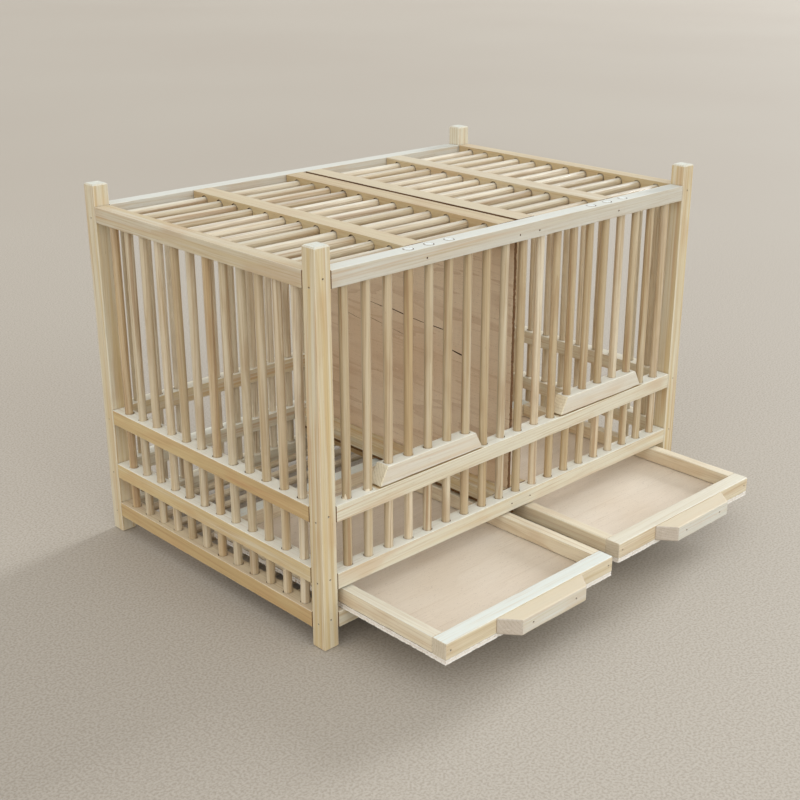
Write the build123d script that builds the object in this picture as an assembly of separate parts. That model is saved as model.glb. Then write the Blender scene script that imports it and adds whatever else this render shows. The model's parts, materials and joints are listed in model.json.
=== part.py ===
from build123d import *
import os

# A two-room cage of square sticks and round dowels, with sliding doors, drawers and a divider.
# Lengths are millimetres. The cage is worked out with x from its left face, y from its front
# face and z from the ground, and each piece is moved to the origin when it is written.

# The cage
cage_width = 360.0
cage_depth = 240.0
post_height = 256.5
post_rise = 14.8
post_side = 11.4
post_chamfer = 0.7
stick_depth = 11.2
stick_height = 10.8

# Heights of the rails' top faces
top_level = post_height - post_rise
middle_level = 95.9
front_lower_level = 50.4
side_lower_level = 54.6
bottom_level = 23.8

# Dowels
dowel_width = 6.0
front_count = 19
side_count = 12
front_inset = 13.35
side_inset = 13.175
seat_depth = 5.0
side_seat_depth = 2.2
glue_gap = 0.05
roof_dowel_drop = 5.4

# Cross rails of the roof and of the divider's foot
cross_width = 15.5
slot_width = 3.4

# Divider
divider_thickness = 2.6
divider_end_gap = 0.5
divider_top_drop = 1.8
seat_gap = 0.3

# Stick that keeps the drawers apart
guide_width = 11.2
guide_height = 10.8

# Doors
door_first = 4
door_dowel_count = 3
handle_depth = 10.7
handle_height = 12.6
handle_end_wall = 5.0
handle_slant = 6.5
handle_seat_depth = 8.0
sliding_gap = 0.3

# Drawers
left_drawer_out = 89.0
right_drawer_out = 82.0
drawer_play = 9.0
left_drawer_post_gap = 4.5
right_drawer_guide_gap = 0.4
drawer_rear_gap = 4.2
drawer_head_gap = 1.4
drawer_foot_gap = 0.3
drawer_front_depth = 11.2
drawer_side_width = 8.0
drawer_rear_depth = 10.4
drawer_floor_thickness = 3.2

# Drawer pulls
pull_back_length = 80.0
pull_front_length = 60.0
pull_depth = 12.5
pull_height = 10.6
left_pull_shift = 5.0
right_pull_shift = 2.5

# Nails
nail_width = 1.2
nail_head_width = 2.2
nail_head_thickness = 0.5
nail_length = 19.0
tack_length = 9.0
tack_inset = 30.0
cross_nail_drop = 6.5
pull_nail_spacing = 40.0

# How far the nails in the posts lie above the middle of their rail: those into the side
# rails, then those into the front rails
top_nail_rises = (1.5, -3.5)
middle_nail_rises = (0.6, -3.4)
lower_nail_rises = (-0.7, 0.9)
bottom_nail_rises = (2.4, -0.8)
back_nail_rise = -3.0

# Overrun of cuts that go right through a face
overrun = 1.0

# Planes and lines that the pieces share
far_post_x = cage_width - post_side
far_post_y = cage_depth - post_side
right_face = cage_width - stick_depth
back_face = cage_depth - stick_depth
near_axis = stick_depth / 2
right_axis = cage_width - near_axis
back_axis = cage_depth - near_axis
middle_x = cage_width / 2
slot_left = middle_x - slot_width / 2
roof_axis = top_level - roof_dowel_drop
floor_axis = bottom_level - stick_height / 2
rail_foot = top_level - stick_height
pair_foot = front_lower_level - stick_height


def spread(first, last, count):
    """Places spaced evenly from the first to the last."""
    return [first + (last - first) * i / (count - 1) for i in range(count)]


front_x = spread(post_side + front_inset, far_post_x - front_inset, front_count)
side_y = spread(post_side + side_inset, far_post_y - side_inset, side_count)
front_pitch = front_x[1] - front_x[0]
left_door_x = front_x[door_first - 1:door_first - 1 + door_dowel_count]
right_door_x = [cage_width - x for x in reversed(left_door_x)]
door_x = left_door_x + right_door_x

door_foot = middle_level + seat_gap
door_top = door_foot + handle_height
drawer_foot = bottom_level + drawer_foot_gap
drawer_deck = drawer_foot + drawer_floor_thickness
drawer_top = pair_foot - drawer_head_gap
left_drawer_x = post_side + left_drawer_post_gap
right_drawer_x = middle_x + guide_width / 2 + right_drawer_guide_gap
drawer_width = middle_x - guide_width / 2 - post_side - drawer_play
drawer_length = back_face - drawer_rear_gap
pull_reach = max(left_drawer_out, right_drawer_out) + pull_depth
origin = Pos(-middle_x, -(cage_depth - pull_reach) / 2, 0)

os.makedirs("parts", exist_ok=True)


def write(name, *solids):
    """Write one node, moved so that the origin is under the middle of the whole part."""
    placed = [origin * solid for solid in solids]
    shape = placed[0] if len(placed) == 1 else Compound(children=placed)
    export_step(shape, f"parts/{name}.step")


# Simple shapes

def block(x0, x1, y0, y1, z0, z1):
    """A square-edged block between two corners."""
    return Pos((x0 + x1) / 2, (y0 + y1) / 2, (z0 + z1) / 2) * Box(x1 - x0, y1 - y0, z1 - z0)


def rod(start, end, radius):
    """A round rod between two points."""
    run = Vector(end) - Vector(start)
    foot = (Align.CENTER, Align.CENTER, Align.MIN)
    return Plane(origin=start, z_dir=run) * Cylinder(radius, run.length, align=foot)


def dowels(lines):
    return [rod(start, end, dowel_width / 2) for start, end in lines]


def holes(lines, gap):
    """The holes around dowels, closed where the dowels end."""
    return [rod(start, end, dowel_width / 2 + gap) for start, end in lines]


def nail(point, way, length=nail_length):
    """A nail driven the given way, with its flat head flush with the face at the point."""
    start = Vector(point)
    neck = start + Vector(way) * nail_head_thickness
    tip = start + Vector(way) * length
    return rod(start, neck, nail_head_width / 2) + rod(neck, tip, nail_width / 2)


def boxes_meet(one, other):
    lows = (one.min.X <= other.max.X, one.min.Y <= other.max.Y, one.min.Z <= other.max.Z)
    highs = (other.min.X <= one.max.X, other.min.Y <= one.max.Y, other.min.Z <= one.max.Z)
    return all(lows) and all(highs)


def drilled(piece, cutters):
    """The piece without the cutters that reach it."""
    box = piece.bounding_box()
    near = [cutter for cutter in cutters if boxes_meet(box, cutter.bounding_box())]
    return piece - near if near else piece


# Lines of the dowels

def upright(x, y, z0, z1):
    return (x, y, z0), (x, y, z1)


def front_line(x):
    return upright(x, near_axis, front_lower_level - seat_depth, rail_foot + seat_depth)


def short_front_line(x):
    head = middle_level - stick_height + seat_depth
    return upright(x, near_axis, front_lower_level - seat_depth, head)


def wall_line(x, y):
    return upright(x, y, bottom_level - seat_depth, rail_foot + seat_depth)


def door_line(x):
    return upright(x, near_axis, door_top - handle_seat_depth, top_level)


def roof_left_line(y):
    """From the left side rail, through the quarter rail, into the left rail of the pair."""
    end = slot_left - cross_width + side_seat_depth
    return (stick_depth - side_seat_depth, y, roof_axis), (end, y, roof_axis)


def roof_right_line(y):
    (x0, y, z), (x1, y, z) = roof_left_line(y)
    return (cage_width - x1, y, z), (cage_width - x0, y, z)


def floor_line(y):
    x0 = stick_depth - side_seat_depth
    return (x0, y, floor_axis), (cage_width - x0, y, floor_axis)


# Nails of the frame

def post_nails():
    """Nails through each post, along y into the side rails and along x into the others."""
    nails = []
    levels = (
        (top_level, top_level, top_nail_rises),
        (middle_level, middle_level, middle_nail_rises),
        (side_lower_level, front_lower_level, lower_nail_rises),
        (bottom_level, bottom_level, bottom_nail_rises),
    )
    for side_level, front_level, (side_rise, front_rise) in levels:
        side_z = side_level - stick_height / 2 + side_rise
        front_z = front_level - stick_height / 2 + front_rise
        back_z = side_level - stick_height / 2 + back_nail_rise
        for x in (near_axis, right_axis):
            nails.append(nail((x, 0, side_z), (0, 1, 0)))
            nails.append(nail((x, cage_depth, side_z), (0, -1, 0)))
        for y, z in ((near_axis, front_z), (back_axis, back_z)):
            nails.append(nail((0, y, z), (1, 0, 0)))
            nails.append(nail((cage_width, y, z), (-1, 0, 0)))
    return nails


def cross_nails():
    """Nails through the front and back rails into the ends of the cross rails."""
    nails = []
    front_z = front_lower_level - stick_height / 2
    back_z = (side_lower_level - stick_height + front_lower_level) / 2
    places = [(x, top_level - cross_nail_drop, top_level - cross_nail_drop) for x in roof_rail_x()]
    places += [(x, front_z, back_z) for x in roof_rail_x()[1:3]]
    for x, near_z, far_z in places:
        nails.append(nail((x, 0, near_z), (0, 1, 0)))
        nails.append(nail((x, cage_depth, far_z), (0, -1, 0)))
    return nails


def roof_rail_x():
    """The middles of the four roof rails, which leave four equal bays beside the slot."""
    bay = (slot_left - stick_depth - 2 * cross_width) / 2
    quarter = stick_depth + bay + cross_width / 2
    inner = slot_left - cross_width / 2
    return [quarter, inner, cage_width - inner, cage_width - quarter]


# Sticks of the frame

def post(x0, y0, cutters):
    body = block(x0, x0 + post_side, y0, y0 + post_side, 0, post_height)
    faces = body.faces().sort_by(Axis.Z)
    body = chamfer(faces[0].edges() + faces[-1].edges(), post_chamfer)
    return drilled(body, cutters)


def long_rail(y0, top, cutters):
    """A rail along x between two posts."""
    body = block(post_side, far_post_x, y0, y0 + stick_depth, top - stick_height, top)
    return drilled(body, cutters)


def side_rail(x0, top, cutters):
    """A rail along y between two posts."""
    body = block(x0, x0 + stick_depth, post_side, far_post_y, top - stick_height, top)
    return drilled(body, cutters)


def cross_rail(x, top, cutters):
    """A wide flat rail from the front rail to the back rail."""
    half = cross_width / 2
    body = block(x - half, x + half, stick_depth, back_face, top - stick_height, top)
    return drilled(body, cutters)


def write_frame():
    long_x = [x for x in front_x if min(abs(x - d) for d in door_x) > front_pitch / 2]
    fronts = [front_line(x) for x in long_x]
    shorts = [short_front_line(x) for x in door_x]
    backs = [wall_line(x, back_axis) for x in front_x]
    lefts = [wall_line(near_axis, y) for y in side_y]
    rights = [wall_line(right_axis, y) for y in side_y]
    roof_left = [roof_left_line(y) for y in side_y]
    roof_right = [roof_right_line(y) for y in side_y]
    floor = [floor_line(y) for y in side_y]

    nails = post_nails() + cross_nails()
    roof_holes = holes(roof_left + roof_right, glue_gap)
    floor_holes = holes(floor, glue_gap)
    door_passes = [upright(x, near_axis, rail_foot - overrun, top_level + overrun) for x in door_x]
    door_holes = holes(door_passes, sliding_gap)

    write("front_left_post", post(0, 0, nails))
    write("front_right_post", post(far_post_x, 0, nails))
    write("back_left_post", post(0, far_post_y, nails))
    write("back_right_post", post(far_post_x, far_post_y, nails))

    front_cuts = nails + holes(fronts + shorts, glue_gap)
    write("front_top_rail", long_rail(0, top_level, front_cuts + door_holes))
    write("front_middle_rail", long_rail(0, middle_level, front_cuts))
    write("front_lower_rail", long_rail(0, front_lower_level, front_cuts))
    write("front_bottom_rail", long_rail(0, bottom_level, front_cuts))

    back_cuts = nails + holes(backs, glue_gap)
    left_cuts = nails + holes(lefts, glue_gap) + roof_holes + floor_holes
    right_cuts = nails + holes(rights, glue_gap) + roof_holes + floor_holes
    levels = (("top", top_level), ("middle", middle_level), ("lower", side_lower_level),
              ("bottom", bottom_level))
    for name, level in levels:
        write(f"back_{name}_rail", long_rail(back_face, level, back_cuts))
        write(f"left_{name}_rail", side_rail(0, level, left_cuts))
        write(f"right_{name}_rail", side_rail(right_face, level, right_cuts))

    names = ("left_quarter", "left_middle", "right_middle", "right_quarter")
    for name, x in zip(names, roof_rail_x()):
        write(f"roof_{name}_rail", cross_rail(x, top_level, nails + roof_holes))
    for name, x in zip(("left", "right"), roof_rail_x()[1:3]):
        write(f"divider_foot_{name}_rail", cross_rail(x, front_lower_level, nails))

    half = guide_width / 2
    guide = block(middle_x - half, middle_x + half, stick_depth, back_face,
                  pair_foot - guide_height, pair_foot)
    write("drawer_guide", guide)

    write("front_left_dowels", *dowels(front_line(x) for x in long_x if x < left_door_x[0]))
    between = [x for x in long_x if left_door_x[-1] < x < right_door_x[0]]
    write("front_middle_dowels", *dowels(front_line(x) for x in between))
    write("front_right_dowels", *dowels(front_line(x) for x in long_x if x > right_door_x[-1]))
    write("left_short_dowels", *dowels(short_front_line(x) for x in left_door_x))
    write("right_short_dowels", *dowels(short_front_line(x) for x in right_door_x))
    write("back_dowels", *dowels(backs))
    write("left_dowels", *dowels(lefts))
    write("right_dowels", *dowels(rights))
    write("roof_left_dowels", *dowels(roof_left))
    write("roof_right_dowels", *dowels(roof_right))
    write("floor_dowels", *dowels(floor))
    write("frame_nails", *nails)


# Doors

def door_handle(xs):
    """A bar with slanted ends: two wall dowels run through it, the door's own stand in it."""
    guides = (xs[0] - front_pitch, xs[-1] + front_pitch)
    left, right = guides[0] - handle_end_wall, guides[1] + handle_end_wall
    y1 = near_axis + handle_depth / 2
    with BuildSketch(Plane.XZ.offset(-y1)) as side:
        with BuildLine():
            Polyline(
                (left - handle_slant, door_foot), (right + handle_slant, door_foot),
                (right, door_top), (left, door_top), close=True,
            )
        make_face()
    body = extrude(side.sketch, handle_depth)
    passes = [upright(x, near_axis, door_foot - overrun, door_top + overrun) for x in guides]
    seats = [door_line(x) for x in xs]
    return drilled(body, holes(passes, sliding_gap) + holes(seats, glue_gap))


def write_doors():
    for side, xs in (("left", left_door_x), ("right", right_door_x)):
        write(f"{side}_door_handle", door_handle(xs))
        write(f"{side}_door_dowels", *dowels(door_line(x) for x in xs))


# Drawers

def pull(middle, y0):
    """A block nailed to the drawer's front, with both ends cut on a slant."""
    back, front = pull_back_length / 2, pull_front_length / 2
    with BuildSketch(Plane.XY.offset(drawer_deck)) as plan:
        with BuildLine():
            Polyline(
                (middle - back, y0), (middle - front, y0 - pull_depth),
                (middle + front, y0 - pull_depth), (middle + back, y0), close=True,
            )
        make_face()
    return extrude(plan.sketch, pull_height)


def drawer_nails(x0, y0, pull_middle):
    """Nails into the ends of the side sticks, up through the floor and through the pull."""
    y1 = y0 + drawer_length
    z = (drawer_deck + drawer_top) / 2
    nails = []
    for x in (x0 + drawer_side_width / 2, x0 + drawer_width - drawer_side_width / 2):
        nails.append(nail((x, y0, z), (0, 1, 0)))
        nails.append(nail((x, y1, z), (0, -1, 0)))
        for y in (y0 + tack_inset, (y0 + y1) / 2, y1 - tack_inset):
            nails.append(nail((x, y, drawer_foot), (0, 0, 1), tack_length))
    for x in (pull_middle - pull_nail_spacing / 2, pull_middle + pull_nail_spacing / 2):
        nails.append(nail((x, y0 - pull_depth, z), (0, 1, 0)))
    return nails


def write_drawer(side, x0, out, pull_shift):
    """A tray of four sticks on a plywood floor, pulled out of the front by the given way."""
    x1 = x0 + drawer_width
    y0, y1 = -out, drawer_length - out
    inner_x0, inner_x1 = x0 + drawer_side_width, x1 - drawer_side_width
    inner_y0, inner_y1 = y0 + drawer_front_depth, y1 - drawer_rear_depth
    pull_middle = (x0 + x1) / 2 + pull_shift
    nails = drawer_nails(x0, y0, pull_middle)
    pieces = {
        "front": block(x0, x1, y0, inner_y0, drawer_deck, drawer_top),
        "rear": block(x0, x1, inner_y1, y1, drawer_deck, drawer_top),
        "left_side": block(x0, inner_x0, inner_y0, inner_y1, drawer_deck, drawer_top),
        "right_side": block(inner_x1, x1, inner_y0, inner_y1, drawer_deck, drawer_top),
        "floor": block(x0, x1, y0, y1, drawer_foot, drawer_deck),
        "pull": pull(pull_middle, y0),
    }
    for name, piece in pieces.items():
        write(f"{side}_drawer_{name}", drilled(piece, nails))
    write(f"{side}_drawer_nails", *nails)


# Divider

def write_divider():
    """A plywood panel that drops through the roof's slot and stands on the drawer guide."""
    half = divider_thickness / 2
    panel = block(middle_x - half, middle_x + half, stick_depth + divider_end_gap,
                  back_face - divider_end_gap, pair_foot + seat_gap, top_level - divider_top_drop)
    write("divider_panel", panel)


write_frame()
write_doors()
write_drawer("left", left_drawer_x, left_drawer_out, left_pull_shift)
write_drawer("right", right_drawer_x, right_drawer_out, right_pull_shift)
write_divider()
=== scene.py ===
import json
import math
import random

import bmesh
import bpy
from mathutils import Matrix, Vector, noise

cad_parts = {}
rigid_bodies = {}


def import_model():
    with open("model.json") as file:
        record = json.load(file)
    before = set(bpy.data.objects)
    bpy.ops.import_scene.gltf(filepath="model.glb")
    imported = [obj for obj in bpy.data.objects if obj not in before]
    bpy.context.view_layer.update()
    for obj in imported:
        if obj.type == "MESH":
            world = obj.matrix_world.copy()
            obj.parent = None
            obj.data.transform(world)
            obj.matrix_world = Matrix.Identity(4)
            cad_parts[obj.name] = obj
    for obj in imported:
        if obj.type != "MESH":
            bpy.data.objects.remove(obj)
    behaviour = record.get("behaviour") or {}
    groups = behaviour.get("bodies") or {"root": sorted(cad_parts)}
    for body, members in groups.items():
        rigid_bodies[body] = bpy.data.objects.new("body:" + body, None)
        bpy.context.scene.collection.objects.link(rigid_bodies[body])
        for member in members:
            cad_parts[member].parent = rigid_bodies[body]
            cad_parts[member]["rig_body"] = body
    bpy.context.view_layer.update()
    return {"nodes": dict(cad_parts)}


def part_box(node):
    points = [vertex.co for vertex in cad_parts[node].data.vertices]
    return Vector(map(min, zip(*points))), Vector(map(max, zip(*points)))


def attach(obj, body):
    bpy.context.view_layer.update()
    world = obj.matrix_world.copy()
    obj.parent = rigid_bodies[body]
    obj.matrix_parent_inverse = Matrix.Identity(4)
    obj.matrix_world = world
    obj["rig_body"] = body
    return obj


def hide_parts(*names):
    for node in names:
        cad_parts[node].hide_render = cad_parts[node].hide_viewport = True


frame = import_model()
mm = 0.001

# The view
# The cage is seen from its front left corner and a little above. The eye, the angles and the lens
# were fitted to the cage's corners in the photograph, which is 800 pixels wide and high.
photo_width = 800
focal_length_pixels = 1296.6
axis_pixel = 440.1
film_width = 36.0
eye = Vector((-621.9, -606.4, 434.9)) * mm
turn = math.radians(-45.196)
rise = math.radians(21.083)
roll = math.radians(0.528)

back = Vector((math.sin(turn) * math.cos(rise), -math.cos(turn) * math.cos(rise), math.sin(rise)))
level = Vector((0, 0, 1)).cross(back).normalized()
over = back.cross(level)
right = level * math.cos(roll) + over * math.sin(roll)
up = over * math.cos(roll) - level * math.sin(roll)
view = bpy.data.cameras.new("view")
view.sensor_width = film_width
view.lens = focal_length_pixels / photo_width * film_width
view.shift_x = (photo_width / 2 - axis_pixel) / photo_width
view.clip_start = 0.05
view.clip_end = 100
camera = bpy.data.objects.new("view", view)
camera.matrix_world = Matrix.Translation(eye) @ Matrix((right, up, back)).transposed().to_4x4()
bpy.context.scene.collection.objects.link(camera)
bpy.context.scene.camera = camera
bpy.context.scene.view_settings.view_transform = "Standard"


# Floor and light
# A wide sheet of smooth brown paper in a bright room, with a far window on the right, a softer one
# in front and walls that glow most on the viewer's side. Nothing here belongs to the cage.
floor_width = 60.0
paper_colour = (179, 170, 157)
cloud_colour = (182, 174, 161)
speckle_colour = (112, 98, 80)
window_colour = (244, 249, 255)
front_colour = (226, 241, 255)
white = (255, 255, 255)
wall_colour = (180, 172, 162)
far_glow = 0.68
near_glow = 0.92


def paint(red, green, blue):
    """A colour written as a screen shows it, as the linear colour that a shader takes."""
    return tuple((c / 255 / 12.92 if c < 10.3 else ((c / 255 + 0.055) / 1.055) ** 2.4)
                 for c in (red, green, blue)) + (1.0,)


class Shade:
    """A shader value. Sums with it add their Math nodes, and node() adds any other node."""

    def __init__(self, tree, socket=None):
        self.tree = tree
        self.socket = socket

    def node(self, kind, settings=None, sockets=None, out=None):
        made = self.tree.nodes.new("ShaderNode" + kind)
        for key, value in (settings or {}).items():
            setattr(made, key, value)
        for key, value in (sockets or {}).items():
            self.feed(made, key, value)
        given = [s for s in made.outputs if s.enabled and (out is None or s.name == out)]
        return Shade(self.tree, given[0] if given else None)

    def feed(self, made, key, value):
        """Set or link one socket of a node, named or counted."""
        if isinstance(key, int):
            socket = made.inputs[key]
        else:
            socket = next(s for s in made.inputs if s.enabled and s.name == key)
        if isinstance(value, Shade):
            self.tree.links.new(value.socket, socket)
        else:
            socket.default_value = value

    def maths(self, operation, first, second=0.0):
        return self.node("Math", {"operation": operation}, {0: first, 1: second})

    def __add__(self, other):
        return self.maths("ADD", self, other)

    def __radd__(self, other):
        return self.maths("ADD", other, self)

    def __sub__(self, other):
        return self.maths("SUBTRACT", self, other)

    def __rsub__(self, other):
        return self.maths("SUBTRACT", other, self)

    def __mul__(self, other):
        return self.maths("MULTIPLY", self, other)

    def __rmul__(self, other):
        return self.maths("MULTIPLY", other, self)

    def __truediv__(self, other):
        return self.maths("DIVIDE", self, other)

    def __pow__(self, other):
        return self.maths("POWER", self, other)

    def between(self, low, high):
        """0 below low, 1 above high and a soft step from one to the other."""
        return self.node("MapRange", {"interpolation_type": "SMOOTHSTEP"},
                         {"Value": self, "From Min": low, "From Max": high})

    def tint(self, plain, other, how="MIX"):
        """The plain colour, changed to the other where this value is 1."""
        return self.node("Mix", {"data_type": "RGBA", "blend_type": how},
                         {"Factor": self, "A": plain, "B": other})


def new_material(name):
    """An empty material, its shader and a Shade to start its maths from."""
    material = bpy.data.materials.new(name)
    material.use_nodes = True
    tree = material.node_tree
    return material, tree.nodes["Principled BSDF"], Shade(tree)


paper, paper_shader, start = new_material("paper")
place = start.node("TexCoord", out="Object")
cloud = start.node("TexNoise", {}, {"Vector": place, "Scale": 1.3, "Detail": 2.0})
speckle = start.node("TexNoise", {}, {"Vector": place, "Scale": 640.0, "Detail": 3.0})
shown = cloud.between(0.2, 0.8).tint(paint(*paper_colour), paint(*cloud_colour))
shown = (speckle.between(0.35, 0.7) * 0.34).tint(shown, paint(*speckle_colour))
start.feed(paper_shader, "Base Color", shown)
start.feed(paper_shader, "Roughness", 0.8)
start.feed(paper_shader, "Specular IOR Level", 0.3)
paper_sheet = bpy.data.meshes.new("floor")
edge = floor_width / 2
corners = [(-edge, -edge, 0), (edge, -edge, 0), (edge, edge, 0), (-edge, edge, 0)]
paper_sheet.from_pydata(corners, [], [(0, 1, 2, 3)])
paper_sheet.materials.append(paper)
floor = bpy.data.objects.new("floor", paper_sheet)
bpy.context.scene.collection.objects.link(floor)


def soft_lamp(name, place, size, power, colour):
    """A square lamp that faces the cage."""
    lamp = bpy.data.lights.new(name, "AREA")
    lamp.size = size
    lamp.energy = power
    lamp.color = paint(*colour)[:3]
    held = bpy.data.objects.new(name, lamp)
    held.location = place
    held.rotation_mode = "QUATERNION"
    held.rotation_quaternion = (Vector((0, 0, 0.1)) - Vector(place)).to_track_quat("-Z", "Y")
    bpy.context.scene.collection.objects.link(held)


soft_lamp("window", (19.0, 1.68, 6.3), 5.2, 3620, window_colour)
soft_lamp("front_window", (0.6, -5.2, 2.4), 3.2, 70, front_colour)
room = bpy.data.worlds.new("room")
bpy.context.scene.world = room
room.use_nodes = True
glow = Shade(room.node_tree)
seen = glow.node("LightPath", out="Is Camera Ray")
sky = seen.tint(paint(*white), paint(*wall_colour))
way_out = glow.node("TexCoord", out="Generated")
near = glow.node("VectorMath", {"operation": "DOT_PRODUCT"}, {0: way_out, 1: (-0.7, -0.7, 0)}, out="Value")
walls = far_glow + near.between(-0.2, 0.9) * near_glow
strength = seen + (1.0 - seen) * walls
glow.feed(room.node_tree.nodes["Background"], "Color", sky)
glow.feed(room.node_tree.nodes["Background"], "Strength", strength)


# Corner posts
# Four square pine posts, sawn to length and planed, with softened arrises and roughly chamfered
# ends. The rails are nailed to them, and their feet carry the cage.
# Each look is a tone and a share of painted top light.
post_looks = {"front_left_post": (0.7, 0.3), "front_right_post": (0.6, 0.3),
              "back_left_post": (0.4, 0.3), "back_right_post": (0.0, 0.3)}
post_arris = 0.6 * mm
post_end_cut = 0.9 * mm
heart_reach = (12, 45)
grain_lean = 0.02


def add_layers(bm):
    """The values that each point of a wooden piece carries for its finish and its painted top light."""
    bm.verts.layers.float_vector.new("grain")
    for name in ("tone", "top_light_share", "wear"):
        bm.verts.layers.float.new(name)


def lay_grain(bm, points, middle, way, chance, look):
    """Give points their place in the trunk that the stick was sawn from, and the stick its look:
    how golden it is, pale at 0 and deep gold past 1, and how much painted top light its upward faces get, to
    1."""
    grain = bm.verts.layers.float_vector["grain"]
    tones, top_light_shares = bm.verts.layers.float["tone"], bm.verts.layers.float["top_light_share"]
    side = Vector((0, 0, 1)).cross(way)
    side = side.normalized() if side.length > 0.1 else Vector((1, 0, 0))
    other = way.cross(side)
    spin = chance.uniform(0, 2 * math.pi)
    heart = chance.uniform(*heart_reach) * mm
    lean = chance.uniform(-grain_lean, grain_lean)
    sway = chance.uniform(-grain_lean, grain_lean)
    start_height = chance.uniform(0, 8)
    for point in points:
        offset = point.co - middle
        a, b, c = offset.dot(side), offset.dot(other), offset.dot(way)
        point[grain] = (a * math.cos(spin) - b * math.sin(spin) + heart + c * lean,
                        a * math.sin(spin) + b * math.cos(spin) + c * sway,
                        c + start_height)
        point[tones], point[top_light_shares] = look


def unit(axis):
    """The step of one along an axis, which is 0, 1 or 2."""
    return Vector([1.0 if i == axis else 0.0 for i in range(3)])


def skin(bm, rings, finish=0, smooth=False):
    """Faces from each ring of points to the next one."""
    for one, two in zip(rings, rings[1:]):
        for i in range(len(one)):
            j = (i + 1) % len(one)
            face = bm.faces.new((one[i], one[j], two[j], two[i]))
            face.material_index = finish
            face.smooth = smooth


def close_ends(bm, rings, finish=0):
    """A face over the first ring and one over the last."""
    for ring in (rings[0][::-1], rings[-1]):
        bm.faces.new(ring).material_index = finish


loop_step = 6 * mm
rough_waves = 55
chip_waves = 190
chip_level = 0.45
chip_size = 3.5
end_shares = (0.66, 0.33)
end_hollow = 0.22


def sawn_stick(low, high, along, chance, arris, end_inset):
    """A stick between two corners, with unevenly softened arrises, as a bmesh."""
    a_axis, b_axis = [axis for axis in range(3) if axis != along]
    half_a, half_b = (high[a_axis] - low[a_axis]) / 2, (high[b_axis] - low[b_axis]) / 2
    middle = (low + high) / 2
    length = high[along] - low[along]
    count = max(4, round(length / loop_step))
    inner = [end_inset + (length - 2 * end_inset) * i / count for i in range(count + 1)]
    stations = [(0.0, end_inset)] + [(s, 0.0) for s in inner] + [(length, end_inset)]
    flavour = chance.uniform(0, 100)
    bm = bmesh.new()
    rings = []
    for s, inset in stations:
        ring = []
        for corner, (sign_a, sign_b) in enumerate(((1, 1), (-1, 1), (-1, -1), (1, -1))):
            rough = noise.noise(Vector((s * rough_waves, corner * 7.3, flavour)))
            chip = noise.noise(Vector((s * chip_waves, corner * 3.1, flavour + 50))) - chip_level
            r = arris * (0.9 + 0.7 * rough + chip_size * max(0.0, chip))
            for k in range(3):
                angle = math.pi / 2 * (corner + k / 2)
                co = Vector((0, 0, 0))
                co[a_axis] = middle[a_axis] + sign_a * (half_a - inset - r) + r * math.cos(angle)
                co[b_axis] = middle[b_axis] + sign_b * (half_b - inset - r) + r * math.sin(angle)
                co[along] = low[along] + s
                ring.append(bm.verts.new(co))
        rings.append(ring)
    skin(bm, rings)
    for ring, inward in ((rings[0], 1), (rings[-1], -1)):
        rough_end(bm, ring, middle, along, inward, chance)
    bmesh.ops.recalc_face_normals(bm, faces=bm.faces)
    return bm


def rough_end(bm, ring, middle, along, inward, chance):
    """Close a stick's end with a sawn face that is a little hollow and rough."""
    outer, outer_share = ring, 1.0
    for share in end_shares:
        smaller = []
        for point in outer:
            co = middle + (point.co - middle) * share / outer_share
            co[along] = ring[0].co[along] + inward * chance.uniform(0.0, end_hollow) * mm
            smaller.append(bm.verts.new(co))
        skin(bm, (outer, smaller))
        outer, outer_share = smaller, share
    bm.faces.new(outer)


def add_peg(bm, centre, way, radius, depth, sides=20):
    """A round cutter that reaches the same way above and below a face."""
    turned = way.to_track_quat("Z", "Y").to_matrix().to_4x4()
    bmesh.ops.create_cone(bm, cap_ends=True, segments=sides, radius1=radius, radius2=radius,
                          depth=2 * depth, matrix=Matrix.Translation(centre) @ turned)


def to_object(name, bm):
    """An object in the scene with the bmesh's shape."""
    mesh = bpy.data.meshes.new(name)
    bm.to_mesh(mesh)
    bm.free()
    made = bpy.data.objects.new(name, mesh)
    bpy.context.scene.collection.objects.link(made)
    return made


def cut_away(body, cutter):
    """The bmesh without the cutters' solids."""
    piece, tool = to_object("cut_piece", body), to_object("cut_tool", cutter)
    cut = piece.modifiers.new("cut", "BOOLEAN")
    cut.operation = "DIFFERENCE"
    cut.solver = "MANIFOLD"
    cut.object = tool
    bpy.context.view_layer.update()
    whole = piece.evaluated_get(bpy.context.evaluated_depsgraph_get())
    bm = bmesh.new()
    bm.from_mesh(whole.data)
    for done in (piece, tool):
        mesh = done.data
        bpy.data.objects.remove(done)
        bpy.data.meshes.remove(mesh)
    return bm


def stretched(grain, across, along, detail=2.0):
    """Noise in the wood, drawn out along the trunk. The scales count waves in a metre."""
    scaled = grain.node("VectorMath", {"operation": "MULTIPLY"}, {0: grain, 1: (across, across, along)})
    return grain.node("TexNoise", {}, {"Vector": scaled, "Scale": 1.0, "Detail": detail})


def layer(start, name, out="Fac"):
    """What the points of a piece carry in one of their layers."""
    return start.node("Attribute", {"attribute_name": name}, out=out)


def from_heart(grain):
    """How far a point lies from the heart of its trunk."""
    across = grain.node("VectorMath", {"operation": "MULTIPLY"}, {0: grain, 1: (1, 1, 0)})
    return grain.node("VectorMath", {"operation": "LENGTH"}, {0: across}, out="Value")


def upward(start, low, high):
    """1 where the surface looks up, 0 where it looks to a side."""
    facing = start.node("NewGeometry", out="Normal")
    return start.node("SeparateXYZ", {}, {"Vector": facing}, out="Z").between(low, high)


def relief(start, shader, strength, depth, height):
    """Let a height in the wood show on its surface."""
    bump = start.node("Bump", {}, {"Strength": strength, "Distance": depth, "Height": height})
    start.feed(shader, "Normal", bump)


ring_step = 1.9 * mm
ring_wander = 2.4 * mm
deep_line_colour = (168, 128, 84)
fleck_colour = (150, 120, 86)
fibre_colour = (120, 92, 60)


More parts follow.
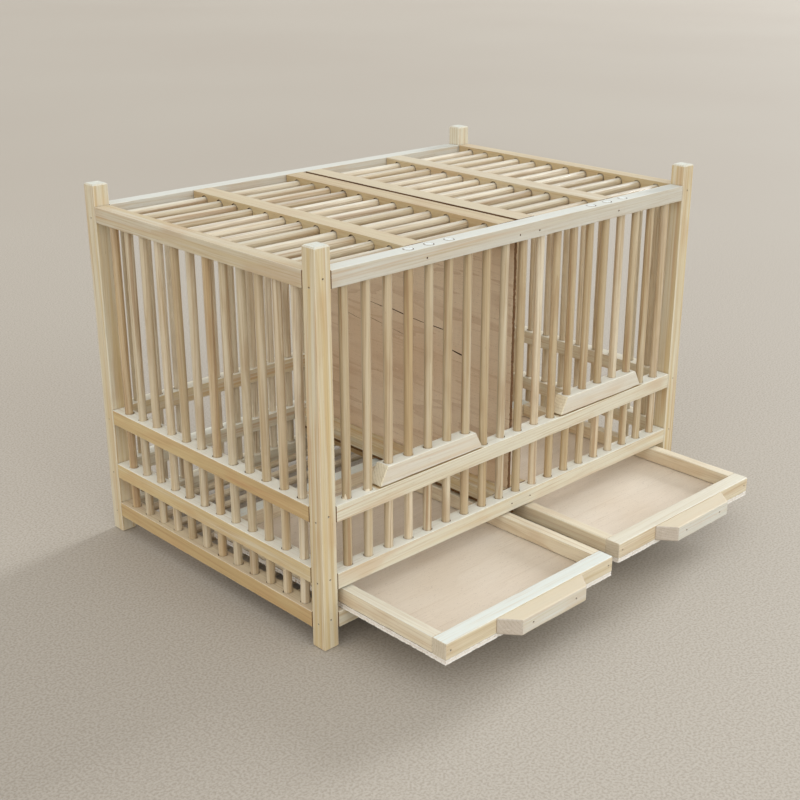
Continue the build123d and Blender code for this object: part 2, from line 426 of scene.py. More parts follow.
def planed_wood(name, cream, honey, late, streak, cast=None, lit_top_and_worn_colour=(204, 211, 206),
                ring_width=ring_step, rough=0.44, streaks=0.8, shine=0.35):
    """Planed softwood: growth rings, soft bands, fine lines and fibres, worn pale arrises, and top faces
    painted pale as painted top light.
    """
    material, shader, start = new_material(name)
    grain = layer(start, "grain", "Vector")
    tone, top_light_share, wear = [layer(start, value) for value in ("tone", "top_light_share", "wear")]
    wander = stretched(grain, 60, 5)
    rings = (from_heart(grain) + (wander - 0.5) * ring_wander) / ring_width
    phase = start.maths("FRACT", rings)
    index = start.maths("FLOOR", rings)
    strength = start.node("TexNoise", {"noise_dimensions": "1D"}, {"W": index * 0.73, "Scale": 1.0})
    latewood = phase ** 4.0 * strength.between(0.3, 0.7)
    bands = stretched(grain, 300, 5)
    blush = stretched(grain, 70, 22).between(0.5, 0.72)
    lines = stretched(grain, 950, 14).between(0.5, 0.74)
    fibre = stretched(grain, 2600, 45, 3.0)
    cloud = stretched(grain, 55, 7)
    brown = stretched(grain, 420, 5).between(0.55, 0.68) * stretched(grain, 40, 3).between(0.38, 0.58)
    fleck = stretched(grain, 2400, 260, 1.0).between(0.70, 0.78)
    golden = (tone * 0.9 + (bands - 0.5) * 1.5 + (cloud - 0.5) * 0.8).between(0.0, 1.0)
    colour = golden.tint(paint(*cream), paint(*honey))
    deep = (tone - 1.0 + (bands - 0.5) * 1.6 + (cloud - 0.5) * 1.2).between(0.0, 1.0) * tone.between(0.9, 1.2)
    colour = (deep * 0.8).tint(colour, paint(*late))
    if cast:
        colour = (start.maths("FRACT", tone * 37.0) * 0.6).tint(colour, paint(*cast))
    colour = (blush * 0.35).tint(colour, paint(*streak))
    colour = (latewood * 0.7 * streaks).tint(colour, paint(*late))
    colour = (lines * 0.6 * streaks).tint(colour, paint(*late))
    colour = (lines * deep * 0.8).tint(colour, paint(*deep_line_colour))
    colour = (brown * 0.7 * streaks).tint(colour, paint(*streak))
    colour = (fleck * 0.35).tint(colour, paint(*fleck_colour))
    colour = (fibre * 0.28).tint(colour, paint(*fibre_colour))
    # Painted top light: upward faces are painted towards a pale bluish white, as far as the piece's share
    # says. Worn arrises are paled too.
    top = upward(start, 0.55, 0.95)
    pale = (top * top_light_share * (1.0 - lines * 0.35) + wear * 0.3).tint(colour, paint(*lit_top_and_worn_colour))
    start.feed(shader, "Base Color", pale)
    start.feed(shader, "Roughness", rough + 0.2 * fibre)
    start.feed(shader, "Specular IOR Level", shine)
    relief(start, shader, 0.35, 0.25 * mm, fibre * 0.6 - latewood * 0.4)
    return material


def sawn_end(name, colour, dark, top=None):
    """End grain: the rings as arcs, open pores and saw marks, darker than the planed faces. Where
    it looks up, it is painted pale towards the top colour: painted top light."""
    material, shader, start = new_material(name)
    grain = layer(start, "grain", "Vector")
    phase = start.maths("FRACT", from_heart(grain) / ring_step) ** 3.0
    pores = stretched(grain, 1500, 1500, 3.0)
    saw = stretched(grain, 260, 260, 2.0)
    tone = (phase * 0.5 + (pores - 0.35) * 1.3 + (saw - 0.5) * 0.8).between(0.0, 1.3)
    shown = tone.tint(paint(*colour), paint(*dark))
    if top:
        # Painted top light on end grain that looks up.
        shown = (upward(start, 0.5, 0.9) * (0.92 - tone * 0.3)).tint(shown, paint(*top))
    start.feed(shader, "Base Color", shown)
    start.feed(shader, "Roughness", 0.85)
    start.feed(shader, "Specular IOR Level", 0.2)
    relief(start, shader, 0.6, 0.4 * mm, pores + saw)
    return material


stick_wood = planed_wood("stick_wood", (222, 216, 194), (211, 188, 139), (186, 156, 108), (194, 152, 106),
                         lit_top_and_worn_colour=(236, 235, 222))
post_end = sawn_end("post_end", (214, 200, 172), (160, 134, 98), top=(206, 208, 198))
materials_of = {"post": (stick_wood, post_end)}
slot_of = {"post": "stick_wood"}
touch = 0.2 * mm


def crossings(low, high, lines):
    """Where round pieces enter a stick's faces: (point on the face, way, radius)."""
    found = []
    for foot, way, length, radius in lines:
        axis = max(range(3), key=lambda i: abs(way[i]))
        start_at, end_at = sorted((foot[axis], foot[axis] + way[axis] * length))
        others = [i for i in range(3) if i != axis]
        if not all(low[i] - radius < foot[i] < high[i] + radius for i in others):
            continue
        for face in (low[axis], high[axis]):
            if start_at < face + touch and end_at > face - touch:
                point = Vector(foot)
                point[axis] = face
                found.append((point, unit(axis), radius))
    return found


arris_size = 0.45 * mm
end_cut = 0.35 * mm
nail_mark = 0.68 * mm
nail_mark_depth = 0.7 * mm
hole_depth = 1.6 * mm
upright_slack = (0.12, 0.35)
lying_slack = (0.45, 0.85)
hole_jitter = 0.15
loose_hole_depth = 2.4 * mm
loose_slack = 0.45 * mm
loose_shift = -0.3 * mm


def wooden_stick(node, kind, along, look, lines=(), nails=(), loose=(), arris=arris_size,
                 ends=end_cut, changes=()):
    """A stick in a CAD node's place, with the holes of its dowels and nails, riding on its body.
    Loose rods slide in wider holes, and changes reshape the stick before its holes are cut."""
    chance = random.Random(node)
    low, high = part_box(node)
    bm = sawn_stick(low, high, along, chance, arris, ends)
    for change in changes:
        change(bm, low, high)
    pegs = bmesh.new()
    for point, way, radius in crossings(low, high, lines):
        gap = chance.uniform(*(upright_slack if way.z else lying_slack)) * mm
        shift = Vector([0.0 if way[i] else chance.uniform(-hole_jitter, hole_jitter) * mm
                        for i in range(3)])
        add_peg(pegs, point + shift, way, radius + gap, hole_depth)
    for point, way, radius in crossings(low, high, loose):
        shift = Vector([0.0 if way[i] else loose_shift for i in range(3)])
        add_peg(pegs, point + shift, way, radius + loose_slack, loose_hole_depth)
    for point, way, radius in crossings(low, high, nails):
        add_peg(pegs, point, way, nail_mark, nail_mark_depth, sides=12)
    if pegs.verts:
        bm = cut_away(bm, pegs)
    else:
        pegs.free()
    return finish_stick(node, bm, kind, low, high, along, chance, look, arris, ends)


end_reach = 0.3 * mm
end_lean = 0.35


def finish_stick(node, bm, kind, low, high, along, chance, look, arris, inset):
    """Give the stick its grain, its worn arrises, its two finishes and its body."""
    add_layers(bm)
    lay_grain(bm, bm.verts, (low + high) / 2, unit(along), chance, look)
    wear = bm.verts.layers.float["wear"]
    sides = [axis for axis in range(3) if axis != along]
    for point in bm.verts:
        gaps = [min(point.co[i] - low[i], high[i] - point.co[i]) for i in sides]
        point[wear] = 1.0 if min(gaps) > 0.1 * arris and max(gaps) < 2 * arris else 0.0
    bm.normal_update()
    for face in bm.faces:
        centre = face.calc_center_median()[along]
        near_end = min(centre - low[along], high[along] - centre) < max(inset, end_reach)
        if near_end or abs(face.normal[along]) > end_lean:
            face.material_index = 1
    piece = to_object(node + "_wood", bm)
    for material in materials_of[kind]:
        piece.data.materials.append(material)
    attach(piece, frame["nodes"][node]["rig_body"])
    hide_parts(node)
    return piece


same_place = 0.01 * mm


def nail_lines(node):
    """The nails of a node as (foot, way, length, radius), read from the CAD solids' loose parts."""
    mesh = frame["nodes"][node].data
    parent = list(range(len(mesh.vertices)))

    def root(i):
        while parent[i] != i:
            parent[i] = parent[parent[i]]
            i = parent[i]
        return i

    places = {}
    for vertex in mesh.vertices:
        key = tuple(round(c / same_place) for c in vertex.co)
        parent[vertex.index] = places.setdefault(key, vertex.index)
    for edge in mesh.edges:
        a, b = root(edge.vertices[0]), root(edge.vertices[1])
        parent[a] = b
    groups = {}
    for vertex in mesh.vertices:
        groups.setdefault(root(vertex.index), []).append(vertex.co)
    found = []
    for points in groups.values():
        low = Vector([min(p[i] for p in points) for i in range(3)])
        high = Vector([max(p[i] for p in points) for i in range(3)])
        axis = max(range(3), key=lambda i: high[i] - low[i])
        middle = (low + high) / 2
        wide = high[(axis + 1) % 3] - low[(axis + 1) % 3]
        head_at_low = any(p[axis] - low[axis] < same_place and (p - middle)[(axis + 1) % 3] > 0.4 * wide
                          for p in points)
        foot = Vector(middle)
        foot[axis] = low[axis] if head_at_low else high[axis]
        way = unit(axis) * (1 if head_at_low else -1)
        found.append((foot, way, high[axis] - low[axis], wide / 2))
    return sorted(found, key=lambda nail: tuple(nail[0]))


frame_nails = nail_lines("frame_nails")
for node, look in post_looks.items():
    wooden_stick(node, "post", 2, look, nails=frame_nails, arris=post_arris, ends=post_end_cut)


# Dowels
# Turned 6 mm rods of the same wood, a little uneven in thickness and never quite straight, set
# with glue into holes in the rails. The doors' own rods slide through the top rail, and torn wood
# curls up from the first two holes at the left of the front.
dowel_rows = {
    "front_left_dowels": (3, 0, 2), "front_middle_dowels": (7, 0, 2), "front_right_dowels": (3, 0, 2),
    "left_short_dowels": (3, 0, 2), "right_short_dowels": (3, 0, 2), "back_dowels": (19, 0, 2),
    "left_dowels": (12, 1, 2), "right_dowels": (12, 1, 2),
    "roof_left_dowels": (12, 1, 0), "roof_right_dowels": (12, 1, 0), "floor_dowels": (12, 1, 0),
    "left_door_dowels": (3, 0, 2), "right_door_dowels": (3, 0, 2),
}
dowel_radius = 3.0 * mm
dowel_loop_step = 9 * mm
rod_bow = 0.22
rod_thinning = 0.1
rod_uneven = 0.07 * mm
plain_dowel_look = (0.3, 0.9, 0.0)
dowel_looks = {"roof_left_dowels": (0.0, 0.5, 0.3), "roof_right_dowels": (0.0, 0.5, 0.3),
               "left_dowels": (0.0, 1.0, 0.0), "right_dowels": (-0.6, 0.0, 0.0),
               "floor_dowels": (-0.6, 0.0, 0.0), "back_dowels": (-0.1, 0.5, 0.0),
               "left_door_dowels": (0.7, 1.1, 0.0), "left_short_dowels": (0.0, 0.5, 0.0)}


def dowel_lines(node):
    """The middle lines of a row of dowels, read from the CAD row's box."""
    count, spread, along = dowel_rows[node]
    low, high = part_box(node)
    lines = []
    for i in range(count):
        foot = (low + high) / 2
        step = (high[spread] - low[spread] - 2 * dowel_radius) / (count - 1)
        foot[spread] = low[spread] + dowel_radius + step * i
        foot[along] = low[along]
        lines.append((foot, unit(along), high[along] - low[along], dowel_radius))
    return lines


def turned_rod(bm, foot, way, length, radius, chance, look):
    """A slightly uneven round rod, added to a bmesh."""
    turned = way.to_track_quat("Z", "Y").to_matrix()
    sides, count = 18, max(3, round(length / dowel_loop_step))
    flavour = chance.uniform(0, 100)
    bow = Vector((chance.uniform(-1, 1), chance.uniform(-1, 1), 0)) * rod_bow * mm
    thin = chance.uniform(0.0, rod_thinning) * mm
    rings = []
    for i in range(count + 1):
        s = length * i / count
        drift = bow * math.sin(math.pi * i / count)
        ring = []
        for k in range(sides):
            angle = 2 * math.pi * k / sides
            uneven = noise.noise(Vector((math.cos(angle) * 1.3 + flavour, math.sin(angle) * 1.3, s * 60)))
            r = radius - thin - rod_uneven * (1 + uneven)
            co = Vector((r * math.cos(angle), r * math.sin(angle), s)) + drift
            ring.append(bm.verts.new(foot + turned @ co))
        rings.append(ring)
    skin(bm, rings, smooth=True)
    close_ends(bm, rings, finish=1)
    points = [point for ring in rings for point in ring]
    lay_grain(bm, points, foot + way * length / 2, way, chance, look)


dowel_wood = planed_wood("dowel_wood", (234, 222, 196), (191, 163, 119), (162, 132, 91), (156, 122, 84),
                         cast=(186, 172, 140), ring_width=1.5 * mm, rough=0.24, streaks=0.95, shine=0.8)
dowel_end = sawn_end("dowel_end", (196, 186, 164), (128, 112, 90), top=(220, 224, 220))
splinter_tip = 0.06 * mm
splinter_thick = 0.3 * mm


def splinter(bm, foot, way, lean, tall, wide):
    """A torn curl of wood that stands up from a hole's rim and bends over."""
    side = way.cross(Vector((0, 0, 1)))
    rings = []
    for i in range(6):
        share = i / 5
        middle = foot + Vector((0, 0, tall * share)) + way * lean * share * share
        half = wide / 2 * (1 - share) ** 0.6 + splinter_tip
        thick = splinter_thick * (1 - 0.6 * share)
        rings.append([bm.verts.new(middle + offset)
                      for offset in (side * half, way * thick, side * -half, way * -thick)])
    skin(bm, rings, finish=2)
    close_ends(bm, rings, finish=2)


torn_wood, torn_shader, start = new_material("torn_wood")
start.feed(torn_shader, "Base Color", start.node("TexNoise", {}, {"Scale": 900.0}).tint(
    paint(240, 232, 214), paint(214, 196, 164)))
start.feed(torn_shader, "Roughness", 0.8)
torn_holes = ((0, -2.5, 0.6 * mm), (1, -2.2, -1.2 * mm))
splinter_root = 3.1 * mm
splinter_sunk = 0.6 * mm
tall_splinter = (4.6 * mm, 1.9 * mm)
small_splinter = (2.6 * mm, 1.2 * mm)
small_lean = 0.9 * mm
small_step = 1.4 * mm


def row_of_dowels(node):
    """A CAD row of dowels as turned rods, each with its own tone."""
    chance = random.Random(node)
    bm = bmesh.new()
    add_layers(bm)
    if node == "front_left_dowels":
        top_of_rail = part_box("front_middle_rail")[1].z
        for i, turn_by, lean in torn_holes:
            middle = dowel_lines(node)[i][0]
            way = Vector((math.cos(turn_by), math.sin(turn_by), 0))
            foot = Vector((middle.x, middle.y, top_of_rail - splinter_sunk)) + way * splinter_root
            splinter(bm, foot, way, lean, *tall_splinter)
            beside = foot + way.cross(Vector((0, 0, 1))) * small_step
            splinter(bm, beside, way, small_lean, *small_splinter)
    for foot, way, length, radius in dowel_lines(node):
        low_tone, high_tone, lit_top_share = dowel_looks.get(node, plain_dowel_look)
        look = (chance.uniform(low_tone, high_tone), lit_top_share)
        turned_rod(bm, foot, way, length, radius, chance, look)
    bmesh.ops.recalc_face_normals(bm, faces=bm.faces)
    piece = to_object(node + "_turned", bm)
    for material in (dowel_wood, dowel_end, torn_wood):
        piece.data.materials.append(material)
    piece.data.set_sharp_from_angle(angle=math.radians(50))
    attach(piece, frame["nodes"][node]["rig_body"])
    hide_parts(node)


all_dowels = []
for node in dowel_rows:
    row_of_dowels(node)
    all_dowels += dowel_lines(node)

# Rails
# Planed sticks between the posts, four to a side, nailed through the posts and drilled for the
# dowels. Their butt ends are chamfered and dark where they meet the posts. Under the door handles
# the front middle rail's top is painted deep gold without painted top light: painted shade.
rail_end_cut = 0.55 * mm
rail_skin = 0.02 * mm
painted_handle_shade = (("top_light_share", 0.0), ("wear", 0.0), ("tone", 2.0))
white_wood = planed_wood("white_wood", (208, 204, 190), (203, 192, 166), (184, 164, 130), (196, 170, 138),
                         lit_top_and_worn_colour=(206, 206, 196))
roof_wood = planed_wood("roof_wood", (211, 204, 184), (200, 181, 140), (180, 152, 108), (186, 148, 106),
                        lit_top_and_worn_colour=(212, 206, 188))
# Dark end grain for the rails' butt ends, also used as painted shade in the left foot rail's step.
dark_end_and_painted_shade = sawn_end("dark_end_and_painted_shade", (110, 80, 50), (66, 44, 26))
for kind, wood in (("rail", stick_wood), ("white", white_wood), ("roof", roof_wood)):
    materials_of[kind] = (wood, dark_end_and_painted_shade)
    slot_of[kind] = "stick_wood"
rail_kinds = {"front_top": "white", "back_top": "white", "left_top": "roof", "right_top": "roof"}
rail_looks = {
    "front_top": (0.3, 1.0), "front_middle": (0.05, 1.0), "front_lower": (0.2, 0.9),
    "front_bottom": (0.3, 0.3), "back_top": (0.1, 0.9), "back_middle": (0.5, 0.6),
    "back_lower": (-0.2, 0.9), "back_bottom": (0.3, 0.3), "left_top": (0.5, 0.0),
    "left_middle": (1.4, 0.9), "left_lower": (0.9, 0.9), "left_bottom": (1.6, 0.3),
    "right_top": (1.3, 0.3), "right_middle": (-0.3, 0.3), "right_lower": (-0.6, 0.3),
    "right_bottom": (0.2, 0.3),
}
door_rods = dowel_lines("left_door_dowels") + dowel_lines("right_door_dowels")
fixed_rods = [line for line in all_dowels if line not in door_rods]
for name, look in rail_looks.items():
    along = 0 if name.startswith(("front", "back")) else 1
    piece = wooden_stick(name + "_rail", rail_kinds.get(name, "rail"), along, look,
                         lines=fixed_rods, nails=frame_nails, loose=door_rods, ends=rail_end_cut)
    # Painted shade: under each door handle the rail's top gets a deep gold tone and no painted top light or
    # wear.
    if name == "front_middle":
        rail_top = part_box("front_middle_rail")[1].z
        for side in ("left", "right"):
            low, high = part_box(f"{side}_door_handle")
            for vertex in piece.data.vertices:
                if low.x < vertex.co.x < high.x and vertex.co.z > rail_top - rail_skin:
                    for name_of_layer, value in painted_handle_shade:
                        piece.data.attributes[name_of_layer].data[vertex.index].value = value

# Cross rails of the roof and of the divider's foot, and the stick that keeps the drawers apart
# Wider flat sticks from front to back, nailed through the front and back rails. A saw kerf's width
# is left between the middle two for the divider. Dark lines show under both foot rails: the left
# one has a step below, whose side faces are painted with the dark end finish as painted shade, and
# the right one's underside is raised a little. The sides of the roof's slot get the dark end finish too.
foot_lift = 1.1 * mm
rebate_height = 2.6 * mm
rebate_depth = 0.9 * mm
rebate_reach = 2.4 * mm
slot_reach = 2 * mm


def lifted(gap):
    """A change that raises a stick's underside a little, so that a dark line shows under it."""
    def change(bm, low, high):
        for point in bm.verts:
            point.co.z = high.z - (high.z - point.co.z) * (1 - gap / (high.z - low.z))
    return change


def rebated(bm, low, high):
    """A change that steps a stick's lower left edge back."""
    for point in bm.verts:
        out, above = point.co.x - low.x, point.co.z - low.z
        if out + above < rebate_reach:
            if out > 0.7 * above:
                point.co.x = low.x + rebate_depth
            if above > 0.7 * out:
                point.co.z = low.z + rebate_height


cross_looks = {
    "roof_left_quarter_rail": (1.1, 0.3), "roof_left_middle_rail": (1.5, 0.2),
    "roof_right_middle_rail": (1.1, 0.4), "roof_right_quarter_rail": (0.8, 0.4),
    "divider_foot_left_rail": (0.6, 0.0), "divider_foot_right_rail": (0.8, 0.1),
    # Painted shade: the drawer guide's deep gold tone darkens the gaps below the foot rails.
    "drawer_guide": (2.4, 0.0),
}
cross_changes = {"divider_foot_left_rail": (rebated,), "divider_foot_right_rail": (lifted(foot_lift),)}
for node, look in cross_looks.items():
    piece = wooden_stick(node, "roof" if node.startswith("roof") else "rail", 1, look,
                         lines=all_dowels, nails=frame_nails, ends=rail_end_cut,
                         changes=cross_changes.get(node, ()))
    # Painted shade: the left foot rail's step faces take the dark end finish. The faces beside the roof's
    # slot take it as well.
    for face in piece.data.polygons:
        beside_slot = node.startswith("roof") and abs(face.center.x) < slot_reach
        painted_rebate_shade = node == "divider_foot_left_rail" and face.center.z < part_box(node)[0].z + rebate_height
        if (painted_rebate_shade or beside_slot) and abs(face.normal.x) > 0.5:
            face.material_index = 1

# Door handles
# A bar of the same wood for each door, its ends sawn on a slant and its top worn round by hands.
# Three rods are glued into it, and it slides up the two wall dowels that run through it.
handle_slant = 6.5 * mm
handle_lift = 0.55 * mm
handle_arris = 0.8 * mm
handle_end_cut = 0.6 * mm
handle_wood = planed_wood("handle_wood", (222, 217, 202), (217, 204, 178), (203, 184, 152), (210, 184, 152),
                          lit_top_and_worn_colour=(232, 230, 216), streaks=0.6)
handle_end = sawn_end("handle_end", (224, 214, 188), (184, 168, 134))
materials_of["handle"] = (handle_wood, handle_end)
slot_of["handle"] = "stick_wood"


def slanted(along, across, cut, wide_at_low):
    """A change that shortens a stick towards one side, so that both of its ends lie on a slant."""
    def change(bm, low, high):
        middle = (low[along] + high[along]) / 2
        half = (high[along] - low[along]) / 2
        for point in bm.verts:
            share = (point.co[across] - low[across]) / (high[across] - low[across])
            share = share if wide_at_low else 1 - share
            point.co[along] = middle + (point.co[along] - middle) * (half - cut * share) / half
    return change


for side in ("left", "right"):
    wooden_stick(f"{side}_door_handle", "handle", 0, (0.25, 0.9), lines=all_dowels, arris=handle_arris,
                 ends=handle_end_cut, changes=(slanted(0, 2, handle_slant, True), lifted(handle_lift)))

# Drawers
# Two trays of four sticks, butt-jointed and nailed, on a sheet of thin plywood that was cut with a
# coarse saw, so that its edges are splintery. A dark line shows between the sheet and the side
# sticks, and a block with slanted ends is nailed on as a pull.
side_lift = 0.4 * mm
drawer_arris = 0.6 * mm
pull_slant = 10 * mm
pull_arris = 0.8 * mm
pull_end_cut = 0.7 * mm
pore_colour = (112, 84, 60)
veneer_fibre_colour = (124, 98, 70)
edge_fibre_colour = (130, 104, 80)
drawer_wood = planed_wood("drawer_wood", (233, 221, 194), (214, 197, 159), (192, 166, 126), (197, 164, 126),
                          lit_top_and_worn_colour=(215, 221, 215))
drawer_end = sawn_end("drawer_end", (206, 194, 172), (176, 158, 128))
pull_wood = planed_wood("pull_wood", (220, 219, 208), (216, 203, 174), (202, 188, 150), (210, 182, 148),
                        lit_top_and_worn_colour=(210, 195, 166), ring_width=2.6 * mm)
pull_end = sawn_end("pull_end", (192, 180, 164), (164, 150, 131), top=(226, 222, 212))
materials_of["drawer"] = (drawer_wood, drawer_end)
materials_of["pull"] = (pull_wood, pull_end)
slot_of["drawer"] = slot_of["pull"] = "drawer_wood"


def thin_plywood(name, face_colour, flame_colour, line_colour, flames, pore):
    """Peeled veneer: broad soft flames, fine short pores and faint lines along the sheet."""
    material, shader, start = new_material(name)
    grain = layer(start, "grain", "Vector")
    flame = stretched(grain, 38, 5, 3.0)
    waves = start.maths("FRACT", flame * 7.0).between(0.55, 1.0)
    lines = stretched(grain, 900, 9, 2.0).between(0.60, 0.78)
    fibre = stretched(grain, 2200, 90, 3.0)
    pores = stretched(grain, 2600, 520, 1.0).between(0.66, 0.74)
    cloud = stretched(grain, 16, 9, 2.0).between(0.3, 0.7)
    colour = cloud.tint(paint(*face_colour), paint(*flame_colour))
    colour = (waves * flames).tint(colour, paint(*line_colour))
    colour = (lines * 0.45).tint(colour, paint(*line_colour))
    colour = (pores * pore).tint(colour, paint(*pore_colour))
    colour = (fibre * 0.22).tint(colour, paint(*veneer_fibre_colour))
    start.feed(shader, "Base Color", colour)
    start.feed(shader, "Roughness", 0.66 + 0.16 * fibre)
    relief(start, shader, 0.3, 0.2 * mm, fibre - pores * 0.5)
    return material


def ply_edge(name, outer, inner, torn_colour):
    """The sawn edge of thin plywood: pale outer veneers, a darker core and torn fibres."""
    material, shader, start = new_material(name)
    grain = layer(start, "grain", "Vector")
    core = layer(start, "wear")
    torn = stretched(grain, 700, 700, 3.0)
    fine = stretched(grain, 2600, 2600, 2.0)
    colour = (core * 0.3).tint(paint(*outer), paint(*inner))
    colour = torn.between(0.58, 0.8).tint(colour, paint(*torn_colour))
    colour = (fine * 0.25).tint(colour, paint(*edge_fibre_colour))
    start.feed(shader, "Base Color", colour)
    start.feed(shader, "Roughness", 0.8 + 0.1 * fine)
    relief(start, shader, 0.7, 0.4 * mm, torn)
    return material


tray_floor = thin_plywood("tray_plywood", (226, 215, 198), (218, 203, 182), (196, 176, 150), 0.1, 0.35)
tray_edge = ply_edge("tray_edge", (240, 236, 226), (214, 194, 170), (176, 146, 116))
ply_ragged = 0.7 * mm
ply_tooth = 1.2 * mm
veneer_heights = (0.0, 0.3, 0.36, 0.64, 0.70, 1.0)
core_sunk = 0.14 * mm
core_shares = (0.33, 0.67)


def ragged_sheet(low, high, thin, chance, ragged):
    """A sheet of three veneers between two corners, its sawn edges uneven, as a bmesh."""
    a_axis, b_axis = [axis for axis in range(3) if axis != thin]
    flavour = chance.uniform(0, 100)
    outline = []
    corners = [(low[a_axis], low[b_axis]), (high[a_axis], low[b_axis]),
               (high[a_axis], high[b_axis]), (low[a_axis], high[b_axis])]
    for (a0, b0), (a1, b1) in zip(corners, corners[1:] + corners[:1]):
        run = math.hypot(a1 - a0, b1 - b0)
        count = round(run / ply_tooth)
        inward = (-(b1 - b0) / run, (a1 - a0) / run)
        for i in range(count):
            share = i / count
            outline.append((a0 + (a1 - a0) * share, b0 + (b1 - b0) * share, inward, 0.0 if i else 1.0))
    bm = bmesh.new()
    rings = []
    for level, share in enumerate(veneer_heights):
        ring = []
        sunk = core_sunk if level in (2, 3) else 0.0
        for i, (a, b, inward, corner) in enumerate(outline):
            broad = noise.noise(Vector((i * 0.11, level * 0.15, flavour)))
            tooth = noise.noise(Vector((i * 0.83, level * 1.7, flavour + 9)))
            depth = sunk + ragged * (0.2 + 0.2 * broad + max(0.0, tooth - 0.1) * 1.6)
            co = Vector((0, 0, 0))
            co[a_axis] = a + depth * inward[0] * (1 - corner)
            co[b_axis] = b + depth * inward[1] * (1 - corner)
            if corner:
                co[a_axis] += math.copysign(depth, (low[a_axis] + high[a_axis]) / 2 - a)
                co[b_axis] += math.copysign(depth, (low[b_axis] + high[b_axis]) / 2 - b)
            co[thin] = low[thin] + (high[thin] - low[thin]) * share
            ring.append(bm.verts.new(co))
        rings.append(ring)
    skin(bm, rings, finish=1)
    close_ends(bm, rings)
    bmesh.ops.recalc_face_normals(bm, faces=bm.faces)
    return bm


def plywood_piece(node, bm, thin, along, chance, materials):
    """A sheet in a CAD node's place, its core marked in the wear layer, riding on its body."""
    low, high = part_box(node)
    add_layers(bm)
    lay_grain(bm, bm.verts, (low + high) / 2, unit(along), chance, (0.5, 0.0))
    wear = bm.verts.layers.float["wear"]
    for point in bm.verts:
        share = (point.co[thin] - low[thin]) / (high[thin] - low[thin])
        point[wear] = 1.0 if core_shares[0] < share < core_shares[1] else 0.0
    piece = to_object(node + "_plywood", bm)
    for material in materials:
        piece.data.materials.append(material)
    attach(piece, frame["nodes"][node]["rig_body"])
    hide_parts(node)


for side, lit_top_share in (("left", 0.7), ("right", 0.2)):
    nails = nail_lines(f"{side}_drawer_nails")
    for part, along, look in (("front", 0, (0.5, lit_top_share + 0.2)), ("rear", 0, (-0.4, 0.9)),
                              ("left_side", 1, (0.2, lit_top_share / 2)), ("right_side", 1, (0.1, 0.1))):
        gaps = (lifted(side_lift),) if along else ()
        wooden_stick(f"{side}_drawer_{part}", "drawer", along, look, nails=nails, arris=drawer_arris,
                     changes=gaps)
    wooden_stick(f"{side}_drawer_pull", "pull", 0, (0.3, 0.8), nails=nails, arris=pull_arris,
                 ends=pull_end_cut, changes=(slanted(0, 1, pull_slant, False),))
    node = f"{side}_drawer_floor"
    chance = random.Random(node)
    sheet = ragged_sheet(*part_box(node), 2, chance, ply_ragged)
    plywood_piece(node, sheet, 2, 0, chance, (tray_floor, tray_edge))

# Divider
# A sheet of thin brown plywood that drops into the roof's slot. Its face veneer runs from front to
# back, with dark lines and open cracks along it, whose walls are painted near black as painted shade.
divider_ply = thin_plywood("divider_plywood", (228, 208, 180), (217, 190, 158), (175, 134, 102), 0.3, 0.4)
cracks = (
    ((89, 156.2, 0.1), (71.5, 154.9, 0.6), (60.5, 155.3, 0.8), (48, 154.0, 0.8), (38, 153.1, 0.45),
     (27, 152.3, 0.45), (18, 152.1, 0.8), (6, 151.7, 0.7), (1, 151.6, 0.1)),
    ((0, 138.8, 0.3), (-4, 138.2, 1.1), (-11, 137.2, 1.2), (-15, 136.9, 0.2)),
    ((113, 142.2, 0.1), (104, 140.8, 0.35), (94, 139.4, 0.1)),
    ((86, 143.6, 0.1), (78, 142.4, 0.4), (70, 141.5, 0.1)),
    ((62, 140.6, 0.1), (54, 139.4, 0.35), (45, 138.1, 0.1)),
)
crack_depth = 1.4 * mm
crack_lead = 0.5 * mm
crack_taper = 0.6
crack_wall = (0.2 * mm, 2 * mm)
divider_ragged = 0.8 * mm
# Painted shade inside the cracks: their walls are painted near black brown.
painted_crack_shade, crack_shade_shader, start = new_material("painted_crack_shade")
uneven = start.node("TexNoise", {}, {"Scale": 300.0})
start.feed(crack_shade_shader, "Base Color", uneven.tint(paint(70, 44, 24), paint(96, 66, 42)))
start.feed(crack_shade_shader, "Roughness", 0.9)
divider_edge = ply_edge("divider_edge", (150, 116, 82), (112, 80, 52), (78, 52, 32))


def cut_crack(bm, face, points):
    """A long thin cutter along an open crack in the sheet's left face: (y, z, width) in mm."""
    rings = []
    for y, z, wide in points:
        half = wide / 2 * mm
        rings.append([bm.verts.new((face - crack_lead, y * mm, z * mm - half)),
                      bm.verts.new((face + crack_depth, y * mm, z * mm - half * crack_taper)),
                      bm.verts.new((face + crack_depth, y * mm, z * mm + half * crack_taper)),
                      bm.verts.new((face - crack_lead, y * mm, z * mm + half))])
    skin(bm, rings)
    close_ends(bm, rings)


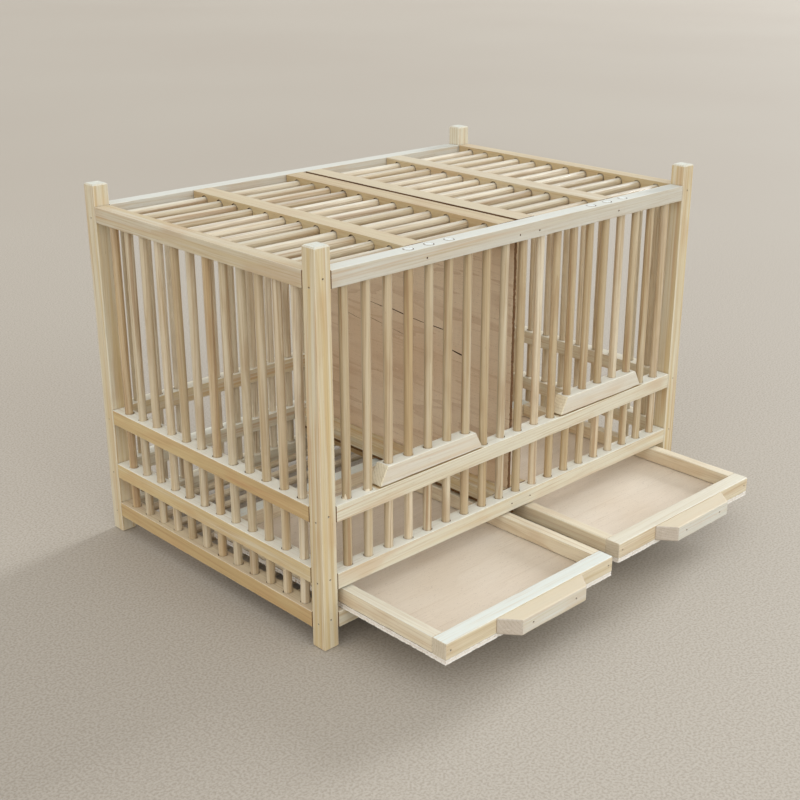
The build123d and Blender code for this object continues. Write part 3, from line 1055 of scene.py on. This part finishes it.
node = "divider_panel"
chance = random.Random(node)
left_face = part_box(node)[0].x
sheet = ragged_sheet(*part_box(node), 0, chance, divider_ragged)
slits = bmesh.new()
for points in cracks:
    cut_crack(slits, left_face, points)
bmesh.ops.recalc_face_normals(slits, faces=slits.faces)
sheet = cut_away(sheet, slits)
sheet.normal_update()
# The cracks' walls take the painted shade.
for face in sheet.faces:
    inside = crack_wall[0] < face.calc_center_median().x - left_face < crack_wall[1]
    if face.material_index == 0 and (inside or abs(face.normal.x) < 0.9):
        face.material_index = 2
plywood_piece(node, sheet, 0, 1, chance, (divider_ply, divider_edge, painted_crack_shade))

# Nails
# Small steel wire nails, driven a little below the wood, dull and dark with rust at the heads.
head_sink = 0.22 * mm
head_radius = 0.52 * mm
head_thickness = 0.35 * mm
dome_shoulder = 0.05 * mm
dome_height = 0.14 * mm
shank_radius = 0.45 * mm
point_length = 1.6 * mm
point_radius = 0.1 * mm
nail_sides = 12
nail_steel, steel_shader, start = new_material("nail_steel")
place = start.node("TexCoord", out="Object")
rust = start.node("TexNoise", {}, {"Vector": place, "Scale": 1400.0, "Detail": 2.0}).between(0.4, 0.65)
start.feed(steel_shader, "Base Color", rust.tint(paint(120, 108, 96), paint(104, 78, 56)))
start.feed(steel_shader, "Metallic", 0.85 - rust * 0.6)
start.feed(steel_shader, "Roughness", 0.42 + rust * 0.35)


def driven_nail(bm, foot, way, length):
    """A nail's domed head, neck, shank and point, as rings about its axis."""
    turned = way.to_track_quat("Z", "Y").to_matrix()
    rings = []
    profile = ((head_sink, 0.5 * head_radius), (head_sink + dome_shoulder, 0.85 * head_radius),
               (head_sink + dome_height, head_radius), (head_sink + head_thickness, head_radius),
               (head_sink + head_thickness, shank_radius), (length - point_length, shank_radius),
               (length, point_radius))
    for depth, radius in profile:
        ring = []
        for k in range(nail_sides):
            angle = 2 * math.pi * k / nail_sides
            offset = Vector((radius * math.cos(angle), radius * math.sin(angle), depth))
            ring.append(bm.verts.new(foot + turned @ offset))
        rings.append(ring)
    skin(bm, rings, smooth=True)
    close_ends(bm, rings)


for node in ("frame_nails", "left_drawer_nails", "right_drawer_nails"):
    bm = bmesh.new()
    for foot, way, length, _ in nail_lines(node):
        driven_nail(bm, foot, way, length)
    bmesh.ops.recalc_face_normals(bm, faces=bm.faces)
    piece = to_object(node + "_driven", bm)
    piece.data.materials.append(nail_steel)
    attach(piece, frame["nodes"][node]["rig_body"])
    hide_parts(node)
